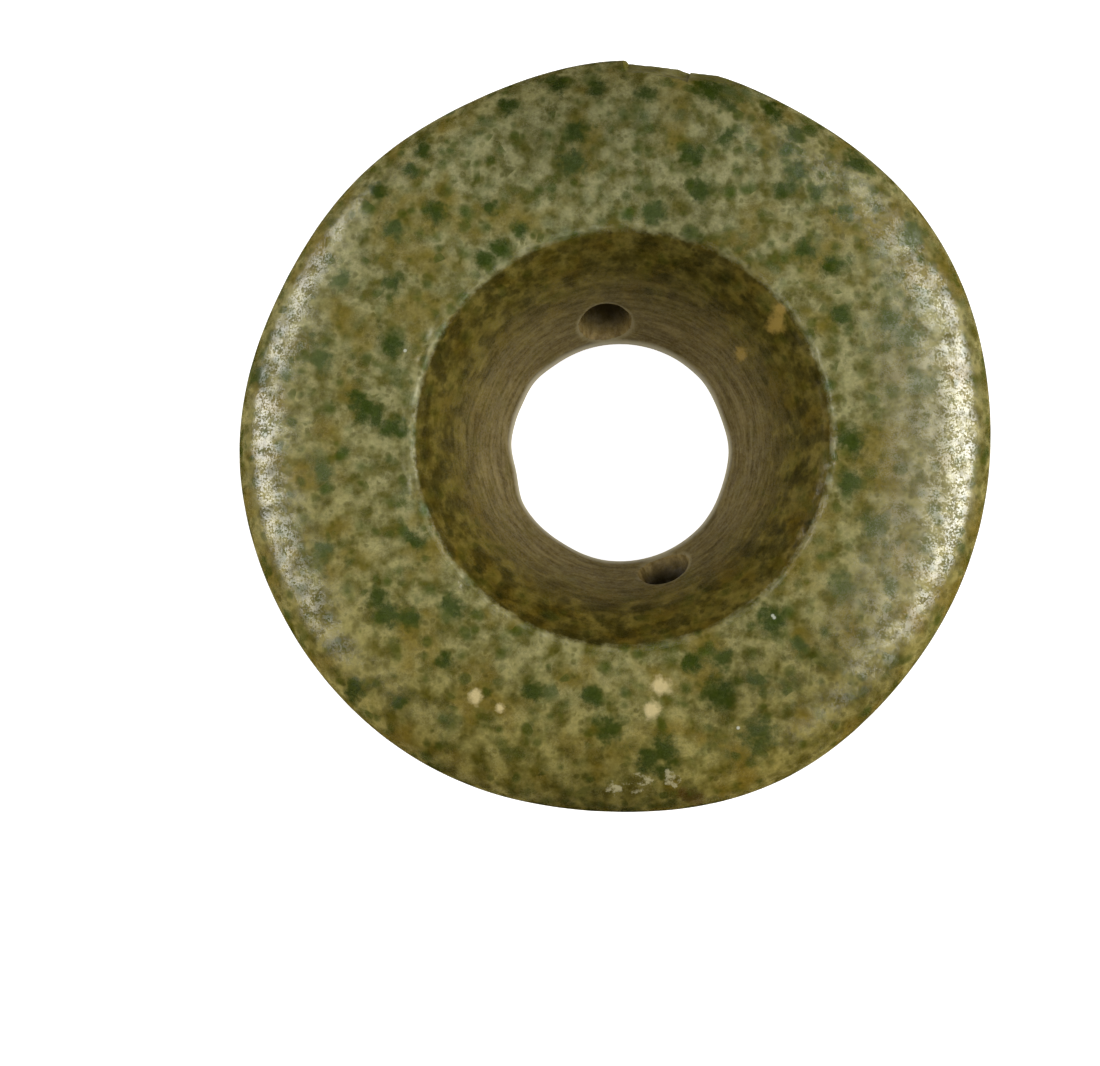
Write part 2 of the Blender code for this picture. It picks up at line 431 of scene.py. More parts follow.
def bore_swell(turn):
    """How far the waist of the bore stands proud at this turn."""
    swell = 0.0
    for middle, half_width, height in BORE_SWELLS:
        away = abs((turn - middle + pi) % (2 * pi) - pi)
        swell += height * (1 - softly(away, 0, half_width))
    return swell


print(f"the waist stands up to {max(swell[2] for swell in BORE_SWELLS) / MM:.2f} mm proud")

# %% [markdown]
# ## The worn lip, and the push
# The lip between the throat and the face is worn, with crumbs missing. Noise above a limit makes
# separate crumbs, and slow noise lets the edge wander. Then all the relief at a point becomes one push
# along its normal. The very foot is left flat.

# %% Push every point
CRUMB_DEPTH = 0.16 * MM
LIP_WANDER = 0.10 * MM
LIP_REACH = (0.1 * MM, 0.6 * MM)  # from the mouth's edge: where the wear begins to fade, and ends
LIP_DEPTH = 0.8 * MM
FLAT_FOOT = 0.4 * MM

spool.normal_update()
pushes = []
for vert in spool.verts:
    point = vert.co.copy()
    radius = hypot(point.x, point.y)
    in_throat = point.z > WAIST_HEIGHT and radius < throat_radius(point.z) + WALL_MARGIN
    push = -RUBBED_OFF - SWELL * dent(point, SWELLS_PER_METRE)
    push -= RIPPLE * dent(point, RIPPLES_PER_METRE, seed=5)
    if in_throat:
        drilled = 1 - softly(point.z, SPOOL_HEIGHT - RINGS_FADE[0], SPOOL_HEIGHT - RINGS_FADE[1])
        push += RING_DEPTH * (0.2 + 0.8 * drilled) * rings(point)
        push -= HOLE_WEAR * hole_wear(point)
    at_waist = 1 - softly(abs(point.z - WAIST_HEIGHT), *WAIST_REACH)
    if radius < BORE_RADIUS + BORE_MARGIN:
        push += at_waist * bore_swell(atan2(point.y, point.x))
    lip = 1 - softly(abs(radius - MOUTH_RADIUS), *LIP_REACH)
    if point.z > SPOOL_HEIGHT - LIP_DEPTH and lip > 0:
        crumbs = max(noise.noise(point * 1300) - 0.1, 0) + 0.6 * max(noise.noise(point * 500), 0)
        push -= lip * (CRUMB_DEPTH * crumbs + LIP_WANDER * dent(point, 330, seed=2))
    off_foot = share(point.z, 0, FLAT_FOOT)
    vert.co = point + vert.normal * push * off_foot
    pushes.append(push * off_foot / MM)
print(f"pushed in by up to {-min(pushes):.2f} mm and out by up to {max(pushes):.2f} mm")
print(f"the lowest point is {min(vert.co.z for vert in spool.verts) / MM:.3f} mm above the table")

# %% [markdown]
# ## From bmesh to object
# The relief is done while every point still belongs to the regular spun grid. The cuts come after it, as
# Booleans, because they break the grid up. Each tool wears a plain material of its own, and the Boolean
# hands that on to the faces it makes.

# %% Object, volume and cut
def to_object(bm, name, finish=None):
    """Makes an object of a bmesh, with a material of the finish's name on every face."""
    mesh = bpy.data.meshes.new(name)
    bm.to_mesh(mesh)
    bm.free()
    if finish:
        mesh.materials.append(bpy.data.materials.get(finish) or bpy.data.materials.new(finish))
    made = bpy.data.objects.new(name, mesh)
    bpy.context.scene.collection.objects.link(made)
    return made


def volume(mesh):
    """The closed volume of a mesh, in cubic millimetres."""
    measured = bmesh.new()
    measured.from_mesh(mesh)
    size = measured.calc_volume()
    measured.free()
    return size / MM**3


def cut(piece, tool):
    """Takes the tool's shape out of the piece and says how much stone went."""
    before = volume(piece.data)
    difference = piece.modifiers.new("cut", "BOOLEAN")
    difference.operation = "DIFFERENCE"
    difference.solver = "EXACT"
    difference.material_mode = "TRANSFER"
    difference.object = tool
    made = piece.evaluated_get(bpy.context.evaluated_depsgraph_get())
    result = bpy.data.meshes.new_from_object(made)
    piece.modifiers.clear()
    piece.data = result
    print(f"{tool.name} took {before - volume(result):.1f} cubic mm")
    bpy.data.objects.remove(tool, do_unlink=True)


stone = to_object(spool, "ear_spool_stone", "ground")
print(f"the blank holds {volume(stone.data):.0f} cubic mm of stone")

# %% [markdown]
# ## Two cord holes
# A thread or a thong through two small holes in the neck held the spool's backing. They were bored
# straight through the wall from opposite sides, just above the waist. A bored hole has rings of its
# own and isn't quite round, so the drill is a rod of many rings whose points are moved by noise.

# %% Cord drills
DRILL_RINGS = 60
DRILL_SIDES = 56
DRILL_ROUGHNESS = 0.05
DRILL_SHORT_OF_RIM = 5 * MM


def cord_drill(turn):
    """A slightly uneven rod that lies along the hole, from the bore out past the neck."""
    inner, outer = BORE_RADIUS / 2, FLARE_RADIUS - DRILL_SHORT_OF_RIM
    rod = bmesh.new()
    bmesh.ops.create_cone(
        rod,
        cap_ends=True,
        cap_tris=True,
        segments=DRILL_SIDES,
        radius1=CORD_HOLE_RADIUS,
        radius2=CORD_HOLE_RADIUS,
        depth=outer - inner,
    )
    lengthwise = [edge for edge in rod.edges if abs(edge.verts[0].co.z - edge.verts[1].co.z) > MM]
    bmesh.ops.subdivide_edges(rod, edges=lengthwise, cuts=DRILL_RINGS, use_grid_fill=True)
    for vert in rod.verts:
        ring = Vector((vert.co.x * 300, vert.co.y * 300, vert.co.z * 1800 + turn))
        uneven = 1 + DRILL_ROUGHNESS * noise.noise(ring)
        vert.co.x *= uneven
        vert.co.y *= uneven
    place = (
        Matrix.Rotation(turn, 4, "Z")
        @ Matrix.Translation(((inner + outer) / 2, 0, CORD_HOLE_HEIGHT))
        @ Matrix.Rotation(pi / 2, 4, "Y")
    )
    rod.transform(place)
    bmesh.ops.recalc_face_normals(rod, faces=rod.faces)
    return to_object(rod, "cord_drill", "drilled")


for turn in CORD_HOLE_TURNS:
    cut(stone, cord_drill(turn))

# %% [markdown]
# ## Old chips at the rim
# Two flakes came off the rim long ago and meet in a small notch. A scar like that is nearly flat, with
# a slight swell and ripples, and it faces outwards and up. The cutter is a block whose inner side is
# divided finely and moved by noise, laid along the rim like a chisel.

# %% Rim chisels
RIM_CHIPS = (  # turns of the two ends, clockwise, and the depth at each end
    (radians(88.6), radians(79.2), 0.30 * MM, 0.50 * MM),
    (radians(79.4), radians(72.0), 0.42 * MM, -0.15 * MM),
)
CHIP_LEAN = radians(20)
CHISEL_SIZE = SPOOL_HEIGHT - RIM_HEIGHT + RIM_ROUNDING
CHISEL_CUTS = 35
SCAR_SWELL = 0.12 * MM
END_SPLAY = 0.9  # how much the ends of a scar slope


def rim_point(turn, depth):
    """A point on the rim's widest line, this deep inside the stone."""
    radius = FLARE_RADIUS + rim_wave(turn) - depth
    return Vector((radius * cos(turn), radius * sin(turn), RIM_HEIGHT))


def rim_chisel(start_turn, end_turn, start_depth, end_depth):
    """A block outside the rim whose inner side is the scar."""
    start = rim_point(start_turn, start_depth)
    end = rim_point(end_turn, end_depth)
    along = (end - start).normalized()
    upright = Vector((0, 0, 1))
    outwards = upright.cross(along)
    size = Vector(((end - start).length, CHISEL_SIZE, 2 * CHISEL_SIZE))
    block = bmesh.new()
    bmesh.ops.create_cube(block, size=1)
    bmesh.ops.translate(block, verts=block.verts, vec=(0, 0.5, 0))
    bmesh.ops.scale(block, verts=block.verts, vec=size)
    bmesh.ops.subdivide_edges(block, edges=block.edges, cuts=CHISEL_CUTS, use_grid_fill=True)
    for vert in block.verts:
        if vert.co.y < 0.01 * MM:
            swell = noise.noise(vert.co * 700) + 0.4 * noise.noise(vert.co * 2200)
            bulge = 1 - (2 * vert.co.x / size.x) ** 2
            vert.co.y += SCAR_SWELL * (swell + bulge - 0.5)
        vert.co.x *= 1 + END_SPLAY * max(vert.co.y, 0) / (size.x / 2)
    facing = Matrix((along, outwards, upright)).transposed().to_4x4()
    lean = Matrix.Rotation(CHIP_LEAN, 4, "X")
    block.transform(Matrix.Translation((start + end) / 2) @ facing @ lean)
    bmesh.ops.recalc_face_normals(block, faces=block.faces)
    return to_object(block, "rim_chisel", "broken")


for chip in RIM_CHIPS:
    cut(stone, rim_chisel(*chip))
triangles = sum(len(face.vertices) - 2 for face in stone.data.polygons)
print(f"the cut stone has {len(stone.data.vertices)} points and {triangles} triangles")

# %% [markdown]
# ## Where each finish lies
# The material needs to know how far down the throat a point is, how near the drilled waist, and whether
# an edge is worn. Each is painted on the points as an attribute from 0 to 1.

# %% Throat, waist and lip
places = np.empty(len(stone.data.vertices) * 3, np.float32)
stone.data.vertices.foreach_get("co", places)
places = places.reshape(-1, 3) / MM  # from here on in millimetres
from_axis = np.hypot(places[:, 0], places[:, 1])
from_mouth_axis = np.hypot(places[:, 0] - MOUTH_OFFSET / MM, places[:, 1])
mouth_mm, waist_mm, height_mm = MOUTH_RADIUS / MM, WAIST_HEIGHT / MM, SPOOL_HEIGHT / MM
wall = np.array([throat_radius(height * MM) / MM for height in places[:, 2]])
on_wall = from_axis < wall + 0.6


def ramp(values, start, end):
    """0 at start, 1 at end, and smooth between."""
    part = np.clip((values - start) / (end - start), 0, 1)
    return part * part * (3 - 2 * part)


def paint(name, values):
    """Keeps one number for each point of the stone under this name."""
    layer = stone.data.attributes.new(name, "FLOAT", "POINT")
    layer.data.foreach_set("value", np.clip(values, 0, 1).astype(np.float32))
    print(f"{name}: {np.mean(values > 0.5) * 100:.1f}% of the points")


paint("throat", np.where(on_wall, ramp(from_mouth_axis, mouth_mm + 0.3, mouth_mm - 0.6), 0))
paint("drilled", np.where(on_wall, 1 - ramp(from_axis, 7.4, 11.6), 0))
paint("waist", np.where(on_wall, 1 - ramp(np.abs(places[:, 2] - waist_mm), 0.1, 0.6), 0))
lip_ring = 1 - ramp(np.abs(from_mouth_axis - mouth_mm), 0.05, 0.3)
paint("lip", np.where(places[:, 2] > height_mm - 0.5, lip_ring, 0))

# %% [markdown]
# ## Drilled and broken faces
# The Booleans left each tool's material on the faces that it made, so those can be found by name. A cord
# hole gets painted shade, darker away from the throat, and its edge is pale.

# %% Holes and scars
def points_of(finish):
    """1 on the points of the faces that a tool with this finish made."""
    slot = stone.data.materials.find(finish)
    marked = np.zeros(len(places))
    for face in stone.data.polygons:
        if face.material_index == slot:
            marked[list(face.vertices)] = 1
    return marked


in_hole = points_of("drilled")
paint("hole", in_hole)
from_edge = ramp(from_axis - wall, 0.1, 1.5)
# painted shade, deeper into each cord hole, a little weaker in the upper one
paint("deep", in_hole * from_edge * np.where(places[:, 1] > 0, 0.8, 1.0))
from_hole = np.array([
    min(off_hole_axis(Vector(point) * MM, turn) for turn in CORD_HOLE_TURNS) / MM
    for point in places.tolist()
])
at_edge = 1 - ramp(np.abs(from_hole - CORD_HOLE_RADIUS / MM - 0.05), 0.02, 0.25)
paint("hole_edge", np.where(on_wall & (in_hole == 0), at_edge, 0))
paint("scar", points_of("broken"))

# %% [markdown]
# ## Slow changes of tone
# The stone is more ochre towards one side. Its outer edge, where the rim rolls over, is painted darker as
# shade, and one stretch near the rim is duller and carries a painted grey sheen. These are wider than any
# cloud in the jade, so they are laid on by turn and radius.

# %% Warm side, edge and dull stretch
WARM_TURN = radians(-88)
DULL_SHEEN_TURN = radians(-8)
turns = np.arctan2(places[:, 1], places[:, 0])
out = ramp(from_axis, mouth_mm, FLARE_RADIUS / MM - 3)
paint("warm", 0.25 + 0.25 * out + 0.5 * np.cos(turns - WARM_TURN) * (0.4 + 0.6 * out))
# painted shade: the outer edge, where the rim rolls over, is made darker
paint("edge", ramp(from_axis, 20.5, 23))
# the dull stretch: rougher, and with a painted grey sheen on its colour
dull_sheen_band = ramp(from_axis, 15.5, 17.5) * ramp(from_axis, 21.3, 19.8)
paint("dull_and_sheen", ramp(np.cos(turns - DULL_SHEEN_TURN), 0.75, 0.97) * dull_sheen_band)

# %% [markdown]
# ## Marks that stand in known places
# Some marks tell this stone from another. They were placed one by one, so each is listed where it stands
# in the picture, in pixels across and down, and one rule turns that into a place on the stone.

# %% From the picture to the stone
def on_face(across, down):
    """The place on the face, in mm, that stands at these pixels of the picture."""
    x = FLARE_CENTRE.x / MM + (across - FLARE_AT[0]) / PIXELS_PER_MM
    y = FLARE_CENTRE.y / MM + (FLARE_AT[1] - down) / PIXELS_PER_MM
    return x, y - (height_mm - RIM_HEIGHT / MM) * tan(LEAN_NORTH)


def patch(spot, reach):
    """1 at the spot's place on the stone, 0 at the reach, seen from above."""
    x, y = on_face(*spot)
    away = np.hypot(places[:, 0] - x, places[:, 1] - y) / (reach / PIXELS_PER_MM)
    return np.where(places[:, 2] > waist_mm, np.clip(1 - away, 0, 1), 0)


print("the flare's middle is seen at", [round(value, 2) for value in on_face(*FLARE_AT)], "mm")

# %% [markdown]
# ## Darker patches
# In some places, listed below, the colour is made darker. A wide soft patch, which will multiply the
# colour, leaves the pattern under it as it is.

# %% Darker patches
TONE_PATCHES = (  # place and reach in the picture's pixels, and how much darker
    (600, 90, 120, 0.38), (540, 130, 60, 0.12), (500, 180, 40, 0.12), (770, 130, 100, 0.14),
    (675, 210, 45, 0.16), (700, 275, 65, 0.40), (765, 375, 50, 0.26), (420, 475, 30, 0.16),
    (742, 706, 60, 0.30), (850, 670, 60, 0.32), (775, 640, 60, 0.10), (560, 725, 60, 0.12),
    (490, 690, 50, 0.14), (430, 750, 60, 0.20), (460, 775, 50, 0.20), (540, 806, 60, 0.36),
    (620, 822, 80, 0.64), (700, 808, 50, 0.12), (590, 250, 50, 0.20),
)
PATCH_SPREAD = 1.4  # a patch fades out this many times its reach away

dark = np.zeros(len(places))
for across, down, reach, depth in TONE_PATCHES:
    near = patch((across, down), reach * PATCH_SPREAD)
    dark += depth * near * near * (3 - 2 * near)
paint("dark", dark)

# %% [markdown]
# ## A painted glint and flecks
# Near the lower edge a strip of the rim gets a painted glint of pale grains, and here and there sits a
# fleck of cream, rust or burnt brown. They are painted as soft shapes, whose outlines the material
# breaks up later.

# %% Painted glint and flecks
# a painted glint: pale grains where the lower rim catches the light
GLINT_GRAIN_PLACES = ((612, 787, 17), (640, 783, 20), (672, 777, 18))  # place and reach in pixels
GLINT_GRAIN_STRENGTH = 1.8
FLECKS = {  # place and radius in pixels, by colour
    "cream": ((661, 686, 10), (652, 710, 9), (476, 696, 8), (501, 707, 5)),
    "rust": ((776, 321, 10), (780, 310, 7), (741, 346, 7)),
    "burnt": ((694, 795, 10), (682, 791, 6)),
}
SPOT_SPREAD = 2  # a spot or a fleck fades out this many times its radius away

paint("glint_grains", GLINT_GRAIN_STRENGTH * sum(patch((across, down), reach) for across, down, reach in GLINT_GRAIN_PLACES))
for name, places_seen in FLECKS.items():
    near = [patch((across, down), radius * SPOT_SPREAD) for across, down, radius in places_seen]
    paint(name, np.max(near, axis=0))

# %% [markdown]
# ## The largest spots
# Each large green spot has its place, its size and its own hue, from leaf green to blue-green. Two
# attributes carry them: how near the closest spot is, and how blue it is.

# %% Place the large spots
LARGE_SPOTS = (  # place and radius in pixels, and how blue the green is
    (557, 82, 9, 0.0), (597, 86, 9, 0.1), (710, 84, 15, 0.0), (727, 101, 9, 0.1), (647, 92, 10, 0.2),
    (577, 131, 12, 0.2), (572, 162, 13, 0.4), (507, 102, 9, 0.0), (422, 146, 9, 0.0), (412, 167, 9, 0.1),
    (380, 187, 9, 0.0), (437, 212, 11, 0.1), (394, 227, 10, 0.4), (490, 207, 8, 0.2), (522, 229, 10, 0.1),
    (500, 247, 11, 0.1), (486, 260, 10, 0.1), (655, 212, 12, 0.5), (726, 137, 10, 0.2), (692, 156, 12, 0.1),
    (700, 190, 12, 0.2), (796, 132, 12, 0.5), (772, 107, 10, 0.0), (856, 160, 10, 0.1), (796, 171, 10, 0.4),
    (783, 190, 10, 0.1), (817, 192, 9, 0.4), (846, 210, 10, 0.6), (805, 251, 11, 0.2), (830, 267, 10, 0.0),
    (912, 233, 14, 0.9), (842, 317, 11, 0.1), (890, 322, 13, 0.6), (908, 336, 15, 0.9), (918, 383, 12, 0.9),
    (851, 440, 13, 0.1), (849, 483, 12, 0.3), (873, 526, 13, 0.5), (838, 586, 14, 0.7), (771, 620, 15, 0.2),
    (798, 646, 9, 0.6), (694, 661, 11, 0.0), (722, 658, 11, 0.3), (757, 679, 10, 0.6), (718, 694, 17, 0.1),
    (757, 733, 16, 0.4), (664, 750, 15, 0.1), (661, 768, 11, 0.2), (609, 728, 14, 0.2), (592, 696, 10, 0.2),
    (648, 758, 12, 0.2), (533, 692, 11, 0.1), (399, 701, 9, 0.2), (355, 687, 10, 0.1), (447, 661, 9, 0.1),
    (455, 606, 12, 0.3), (391, 613, 13, 0.3), (412, 617, 11, 0.3), (379, 597, 11, 0.1), (415, 542, 10, 0.2),
    (325, 549, 10, 0.7), (324, 471, 10, 0.8), (395, 427, 12, 0.1), (373, 412, 15, 0.1), (359, 401, 10, 0.1),
    (393, 345, 13, 0.1), (322, 358, 12, 0.8), (341, 279, 11, 0.9), (395, 282, 10, 0.3), (259, 373, 12, 0.4),
)

large = np.zeros(len(places))
blueness = np.zeros(len(places))
for across, down, radius, blue in LARGE_SPOTS:
    near = patch((across, down), radius * SPOT_SPREAD)
    blueness = np.where(near > large, blue, blueness)
    large = np.maximum(large, near)
paint("large_spot", large)
paint("blue_spot", blueness)

# %% [markdown]
# ## Mottled jade
# Jade of this kind is a felt of fine crystals, and each green spot is a patch with more iron in it. The
# edges are soft because light enters the stone before it comes back. So the material is built from soft
# layers, most of them noise on Object coordinates in millimetres.

# %% Helpers for nodes
jade = bpy.data.materials.new("mottled_jade")
jade.use_nodes = True
nodes, links = jade.node_tree.nodes, jade.node_tree.links
shader = nodes["Principled BSDF"]


def add(kind, inputs=None, out=0, **settings):
    """Adds a node, sets or links its inputs by name or number, and returns one of its outputs."""
    made = nodes.new(kind)
    for key, value in settings.items():
        setattr(made, key, value)
    for key, value in (inputs or {}).items():
        if isinstance(value, bpy.types.NodeSocket):
            links.new(value, made.inputs[key])
        else:
            made.inputs[key].default_value = value
    return made.outputs[out]


def calc(operation, first, second=0.0, third=0.0):
    """One step of arithmetic on numbers or sockets."""
    return add("ShaderNodeMath", {0: first, 1: second, 2: third}, operation=operation)


def step_up(value, start, end):
    """0 below start, 1 above end, and smooth between."""
    limits = {"Value": value, "From Min": start, "From Max": end}
    return add("ShaderNodeMapRange", limits, interpolation_type="SMOOTHSTEP")


def colour(value):
    """A colour read off a picture as sRGB from 0 to 255, made linear. A socket stays as it is."""
    if isinstance(value, bpy.types.NodeSocket):
        return value
    channels = [c / 255 for c in value]
    return [c / 12.92 if c < 0.04045 else ((c + 0.055) / 1.055) ** 2.4 for c in channels] + [1.0]


def blend(factor, first, second, way="MIX"):
    """Mixes two colours."""
    mixed = {0: factor, 6: colour(first), 7: colour(second)}
    return add("ShaderNodeMix", mixed, out=2, data_type="RGBA", blend_type=way)


def attribute(name):
    """The number painted under this name."""
    return add("ShaderNodeAttribute", out=2, attribute_name=name)


print(f"middle grey is {colour((128, 128, 128))[0]:.2f} in linear light")

# %% [markdown]
# ## A place for the noise
# Plain noise looks like noise. If the place it is asked for is pushed about by slower noise, its clouds
# curl as the felt of a real stone does. That pushed place is the drift, and most layers use it.

# %% Places in the stone
def cloud(place, scale, detail=2.0, roughness=0.5, out=0):
    """Noise with so many swells to the millimetre."""
    sizes = {"Vector": place, "Scale": scale, "Detail": detail, "Roughness": roughness}
    return add("ShaderNodeTexNoise", sizes, out=out)


def shifted(place, by):
    """The same place, moved."""
    return add("ShaderNodeVectorMath", {0: place, 1: by}, operation="ADD")


def moved(place, by, scale, detail=2.0):
    """The same place, pushed about by noise."""
    wander = cloud(place, scale, detail, out=1)
    centred = add("ShaderNodeVectorMath", {0: wander, 1: (0.5, 0.5, 0.5)}, operation="SUBTRACT")
    sized = add("ShaderNodeVectorMath", {0: centred, "Scale": by}, operation="SCALE")
    return shifted(place, sized)


object_place = add("ShaderNodeTexCoord", out=3)
place = add("ShaderNodeMapping", {"Vector": object_place, "Scale": (1 / MM, 1 / MM, 1 / MM)})
drift = moved(moved(place, 0.5, 0.35, 1.0), 0.12, 1.8, 1.0)
print(f"{len(nodes)} nodes to place the noise")

# %% [markdown]
# ## The pale felt
# Between the spots the stone is a pale grey-green felt of light and dark puffs, with ochre clouds. Each
# is one noise with its middle stretched by a smooth step, because plain noise would leave the stone grey
# all over.

# %% The felt between the spots
DARK_FELT, PALE_FELT, OCHRE = (92, 88, 38), (154, 150, 114), (120, 106, 46)

puffs = cloud(drift, 0.95, 3, 0.46)
felt = blend(step_up(puffs, 0.3, 0.68), DARK_FELT, PALE_FELT)
ochre = step_up(cloud(drift, 0.34, 2), 0.48, 0.68)
felt = blend(calc("MULTIPLY", ochre, 0.75), felt, OCHRE)
print(f"{len(nodes)} nodes with the felt")

# %% [markdown]
# ## Green spots
# A spot is soft and round, so it starts from a Voronoi texture, which knows how far a point is from the
# middle of its cell. Each cell picks its own size and strength. Three layers lie over a haze of green.
# The largest spots come last, from their attribute, with noise that makes them ragged.

# %% Spots
OLIVE, LEAF, BLUE_GREEN = (68, 68, 8), (56, 76, 16), (72, 88, 56)
TINY_GREEN, SMALL_GREEN = (72, 70, 12), (60, 74, 14)
LARGE_GREEN, LARGE_BLUE_GREEN = (44, 60, 0), (84, 95, 60)


def spots(scale, seed, size, softness):
    """Round soft spots of uneven strength, one in about every second cell of a Voronoi texture."""
    where = {"Vector": shifted(drift, (seed, seed, seed)), "Scale": scale}
    distance = add("ShaderNodeTexVoronoi", where, out=0)
    cell = add("ShaderNodeSeparateColor", {0: distance.node.outputs["Color"]}).node.outputs
    reach = calc("MULTIPLY", cell["Red"], size)
    strength = step_up(cell["Green"], 0.0, 0.7)
    return calc("MULTIPLY", step_up(calc("SUBTRACT", reach, distance), -0.1, softness), strength)


hue = cloud(shifted(place, (7, 1, 4)), 0.3, 2)
green = blend(step_up(hue, 0.36, 0.48), OLIVE, LEAF)
green = blend(step_up(hue, 0.48, 0.64), green, BLUE_GREEN)
drifts = cloud(shifted(drift, (2, 2, 2)), 0.72, 3, 0.58)
haze = step_up(drifts, 0.5, 0.7)
tiny = spots(2.4, 6, 0.62, 0.25)
small = spots(1.3, 11, 0.64, 0.32)
broad = spots(0.8, 3, 0.58, 0.36)
surface = blend(calc("MULTIPLY", haze, 0.5), felt, green)
surface = blend(calc("MULTIPLY", tiny, 0.5), surface, TINY_GREEN)
surface = blend(calc("MULTIPLY", small, 0.7), surface, SMALL_GREEN)
surface = blend(calc("MULTIPLY", broad, 0.75), surface, green)
ragged = calc("MULTIPLY_ADD", cloud(drift, 1.6, 3, 0.6), 1.2, attribute("large_spot"))
large_mask = step_up(ragged, 0.84, 1.4)
large_green = blend(attribute("blue_spot"), LARGE_GREEN, LARGE_BLUE_GREEN)
surface = blend(calc("MULTIPLY", large_mask, 0.95), surface, large_green)
print(f"{len(nodes)} nodes with the spots")

# %% [markdown]
# ## Tone and grain
# The painted changes of tone, with painted shade at the outer edge, multiply the colour, so the pattern
# shows through. A fine grain follows. The dull stretch comes after the grain and is mixed in as a
# painted grey sheen, like a thin film.

# %% Slow changes of tone, and grain
COOL_TINT, WARM_TINT, RIM_SHADE_TINT = (252, 254, 238), (255, 244, 184), (246, 240, 222)
DARK_TINT, GREY_SHEEN = (120, 118, 60), (112, 106, 76)

tint = blend(attribute("warm"), COOL_TINT, WARM_TINT)
# painted shade at the outer edge, where the rim rolls over
tint = blend(attribute("edge"), tint, blend(1.0, tint, RIM_SHADE_TINT, "MULTIPLY"))
surface = blend(1.0, surface, tint, "MULTIPLY")
surface = blend(attribute("dark"), surface, blend(1.0, surface, DARK_TINT, "MULTIPLY"))
fine_noise = cloud(place, 4.0, 2)
grain = add(
    "ShaderNodeMapRange",
    {"Value": fine_noise, "From Min": 0.25, "From Max": 0.75, "To Min": 0.82, "To Max": 1.18},
)
surface = blend(1.0, surface, grain, "MULTIPLY")
# painted grey sheen over the dull stretch
surface = blend(calc("MULTIPLY", attribute("dull_and_sheen"), 0.34), surface, GREY_SHEEN)
print(f"{len(nodes)} nodes with the tones")

# %% [markdown]
# ## The stained throat
# Inside the throat the jade is darker and browner, and where the drill left it rough it is matt brown,
# streaked round by the rings. Noise on the attribute makes the edge of the stain crumble. The streaks
# are noise squeezed flat along the bore.

# %% The stain in the throat
PALE_BROWN, DARK_BROWN, HAZY_BROWN = (142, 126, 82), (88, 74, 40), (92, 84, 40)
DARK_STAIN, PALE_STAIN = (126, 120, 80), (234, 214, 154)
DARK_STREAK, PALE_STREAK = (40, 38, 8), (108, 92, 38)
# a painted highlight on the rounded lip at the waist
WAIST_HIGHLIGHT = (206, 198, 170)

streak_place = add("ShaderNodeMapping", {"Vector": drift, "Scale": (0.3, 0.3, 3.2)})
streaks = calc("MULTIPLY_ADD", cloud(place, 3.6, 3, 0.75), 0.8, cloud(streak_place, 1.2, 2, 0.55))
streaks = step_up(streaks, 0.56, 1.24)
crumbs = cloud(place, 1.5, 3, 0.65)
in_throat = calc("MULTIPLY_ADD", crumbs, 1.1, attribute("throat"))
in_throat = step_up(in_throat, 0.78, 1.36)
brown = blend(streaks, DARK_BROWN, PALE_BROWN)
brown = blend(calc("MULTIPLY", haze, 0.35), brown, HAZY_BROWN)
blotches = step_up(drifts, 0.36, 0.64)
stained = blend(1.0, surface, blend(blotches, DARK_STAIN, PALE_STAIN), "MULTIPLY")
stained = blend(0.25, stained, blend(streaks, DARK_STREAK, PALE_STREAK))
stained = blend(calc("MULTIPLY", attribute("drilled"), 0.85), stained, brown)
# painted highlight: the rounded lip at the waist is made paler
stained = blend(calc("MULTIPLY", attribute("waist"), 0.8), stained, WAIST_HIGHLIGHT)
surface = blend(in_throat, surface, stained)
print(f"{len(nodes)} nodes with the throat")

# %% [markdown]
# ## Holes and scars
# The cord holes are brown stone with painted shade that goes nearly black towards the back, and a pale
# edge. The two scars at the rim are a little darker and greener than the face.

# %% Cord holes and scars
DARK_HOLE, PALE_HOLE, HOLE_SHADE = (90, 72, 32), (158, 136, 82), (38, 30, 5)
PALE_EDGE, SCAR_GREEN = (158, 146, 108), (92, 84, 14)

in_cord_hole = calc("MULTIPLY", attribute("hole"), 0.9)
surface = blend(in_cord_hole, surface, blend(streaks, DARK_HOLE, PALE_HOLE))
# painted shade deep in the cord holes
surface = blend(attribute("deep"), surface, HOLE_SHADE)
rubbed = calc("MULTIPLY", attribute("hole_edge"), calc("SUBTRACT", 1.0, ochre))
surface = blend(calc("MULTIPLY", rubbed, 0.7), surface, PALE_EDGE)
surface = blend(calc("MULTIPLY", attribute("scar"), 0.5), surface, SCAR_GREEN)
print(f"{len(nodes)} nodes with the holes")

# %% [markdown]
# ## Painted glint and flecks in the material
# The painted glint shows only where the crumbs are high, so it breaks into grains, and a fleck loses
# its outline to them. Attributes carry both, because nodes that measure the distance to every fleck are
# slow.

# %% Painted glint and flecks, in nodes
GLINT_GRAIN_WHITE = (196, 188, 148)
FLECK_COLOURS = (  # attribute, colour and strength
    ("cream", (214, 196, 142), 0.85),
    ("rust", (160, 134, 66), 0.85),
    ("burnt", (74, 48, 12), 0.6),
)

# the painted glint of pale grains on the lower rim
glint_grains = step_up(calc("MULTIPLY_ADD", attribute("glint_grains"), 0.3, crumbs), 0.79, 0.92)
surface = blend(calc("MULTIPLY", glint_grains, 0.55), surface, GLINT_GRAIN_WHITE)
for name, fleck_colour, strength in FLECK_COLOURS:
    fleck = step_up(calc("SUBTRACT", attribute(name), crumbs), -0.15, 0.3)
    surface = blend(calc("MULTIPLY", fleck, strength), surface, fleck_colour)
print(f"{len(nodes)} nodes with the flecks")

